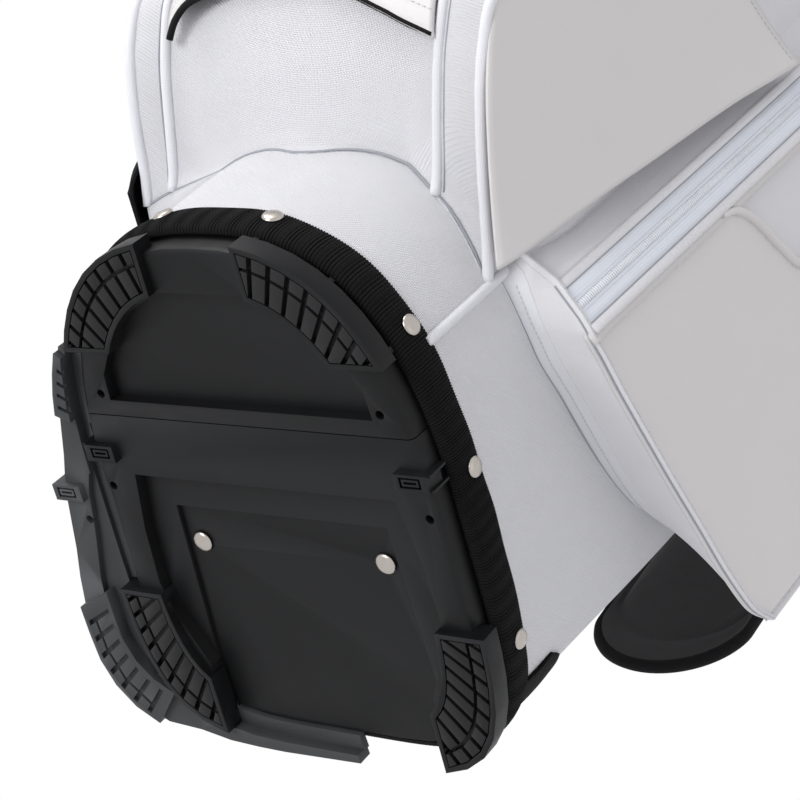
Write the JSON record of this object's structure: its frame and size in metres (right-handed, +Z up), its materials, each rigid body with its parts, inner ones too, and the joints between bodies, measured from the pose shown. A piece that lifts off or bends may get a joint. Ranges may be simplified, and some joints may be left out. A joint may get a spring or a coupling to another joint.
{
  "type": "golf staff bag",
  "caption": "Tall oval golf bag with a two-piece moulded base, rubber feet, moulded cuff with handles, full-length dividers, soft zipped pockets and a padded shoulder strap.",
  "frame": {"origin": "on the floor, below the middle of the whole bag's box (pockets and strap included)", "axes": "+Z up the bag; -Y out of the front, where the ball pocket hangs; +X to the right of someone who faces the ball pocket, so the umbrella sleeve, towel ring and side skid are on -X"},
  "size_m": [0.2958, 0.4222, 0.88],
  "materials": {
    "moulded_plastic": "matt black moulding with a light satin edge",
    "pale_moulding": "matt dark grey moulding",
    "rubber_tread": "matt black lugs",
    "body_canvas": "plain woven nylon, cool white",
    "leatherette": "white grained leatherette, soft sheen",
    "black_webbing": "ribbed black webbing",
    "strap_cushion": "black knitted mesh over foam",
    "zip_tape": "pale blue-white zip tape with a nylon coil",
    "nickel": "warm polished nickel",
    "steel_rod": "drawn steel",
    "divider_cloth": "dark brushed nylon",
    "puller_tab": "folded leatherette tab",
    "board": "plain board"
  },
  "bodies": {
    "bag": {"ball_pocket": "body_canvas", "base_front_shell": "moulded_plastic", "base_rear_shell": "moulded_plastic", "body_tube": "body_canvas", "divider_grid": "moulded_plastic", "divider_sleeves": "divider_cloth", "floor_rivet_left": "nickel", "floor_rivet_right": "nickel", "foot_tread_front_left": "rubber_tread", "foot_tread_front_right": "rubber_tread", "foot_tread_rear_left": "rubber_tread", "foot_tread_rear_right": "rubber_tread", "inner_floor_board": "board", "rim_rivet_1": "nickel", "rim_rivet_10": "nickel", "rim_rivet_2": "nickel", "rim_rivet_3": "nickel", "rim_rivet_4": "nickel", "rim_rivet_5": "nickel", "rim_rivet_6": "nickel", "rim_rivet_7": "nickel", "rim_rivet_8": "nickel", "rim_rivet_9": "nickel", "side_pocket_left": "leatherette", "side_pocket_right": "leatherette", "side_skid": "pale_moulding", "side_zip_left": "zip_tape", "side_zip_right": "zip_tape", "stay_rod_left": "steel_rod", "stay_rod_right": "steel_rod", "strap_anchor_lower": "black_webbing", "strap_anchor_upper": "black_webbing", "strap_ring_lower": "nickel", "strap_ring_upper": "nickel", "top_cuff": "moulded_plastic", "towel_loop": "black_webbing", "umbrella_sleeve": "black_webbing", "valuables_pocket": "leatherette", "valuables_zip": "zip_tape", "webbing_band": "black_webbing", "zip_cover_left": "leatherette", "zip_cover_right": "leatherette"},
    "ball_pocket_flap": {"ball_pocket_flap": "leatherette"},
    "side_slider_right": {"side_slider_right": "nickel"},
    "side_puller_right": {"side_puller_right": "puller_tab"},
    "side_slider_left": {"side_slider_left": "nickel"},
    "side_puller_left": {"side_puller_left": "puller_tab"},
    "valuables_slider": {"valuables_slider": "nickel"},
    "valuables_puller": {"valuables_puller": "puller_tab"},
    "shoulder_strap": {"strap_pad": "strap_cushion", "strap_webbing": "black_webbing", "strap_hook_upper": "nickel", "strap_hook_lower": "nickel"},
    "towel_ring": {"towel_ring": "nickel"}
  },
  "joints": [
    {"name": "ball_flap_hinge", "type": "hinge", "parent": "bag", "child": "ball_pocket_flap", "pos_m": [0, -0.20259, 0.337], "axis": [-1, 0, 0], "range_deg": [0, 110]},
    {"name": "side_zip_slide_right", "type": "slide", "parent": "bag", "child": "side_slider_right", "axis": [-0.0197, 0, -0.9998], "range_m": [0, 0.43]},
    {"name": "side_puller_hinge_right", "type": "hinge", "parent": "side_slider_right", "child": "side_puller_right", "pos_m": [0.13383, -0.06476, 0.5366], "axis": [-0.7071, -0.7071, 0], "range_deg": [0, 150]},
    {"name": "side_zip_slide_left", "type": "slide", "parent": "bag", "child": "side_slider_left", "axis": [0.0197, 0, -0.9998], "range_m": [0, 0.43]},
    {"name": "side_puller_hinge_left", "type": "hinge", "parent": "side_slider_left", "child": "side_puller_left", "pos_m": [-0.13383, -0.06476, 0.5366], "axis": [-0.7071, 0.7071, 0], "range_deg": [0, 150]},
    {"name": "valuables_zip_slide", "type": "slide", "parent": "bag", "child": "valuables_slider", "axis": [-1, 0, 0], "range_m": [0, 0.105]},
    {"name": "valuables_puller_hinge", "type": "hinge", "parent": "valuables_slider", "child": "valuables_puller", "pos_m": [0.053, -0.18119, 0.594], "axis": [-1, 0, 0], "range_deg": [0, 150]},
    {"name": "shoulder_strap_swing", "type": "hinge", "parent": "bag", "child": "shoulder_strap", "pos_m": [0, 0.16591, 0.49], "axis": [0, 0, 1], "range_deg": [-15, 115]},
    {"name": "towel_ring_swing", "type": "hinge", "parent": "bag", "child": "towel_ring", "pos_m": [-0.12693, -0.03851, 0.76], "axis": [-0.1612, 0.9869, 0], "range_deg": [-8, 110]}
  ]
}
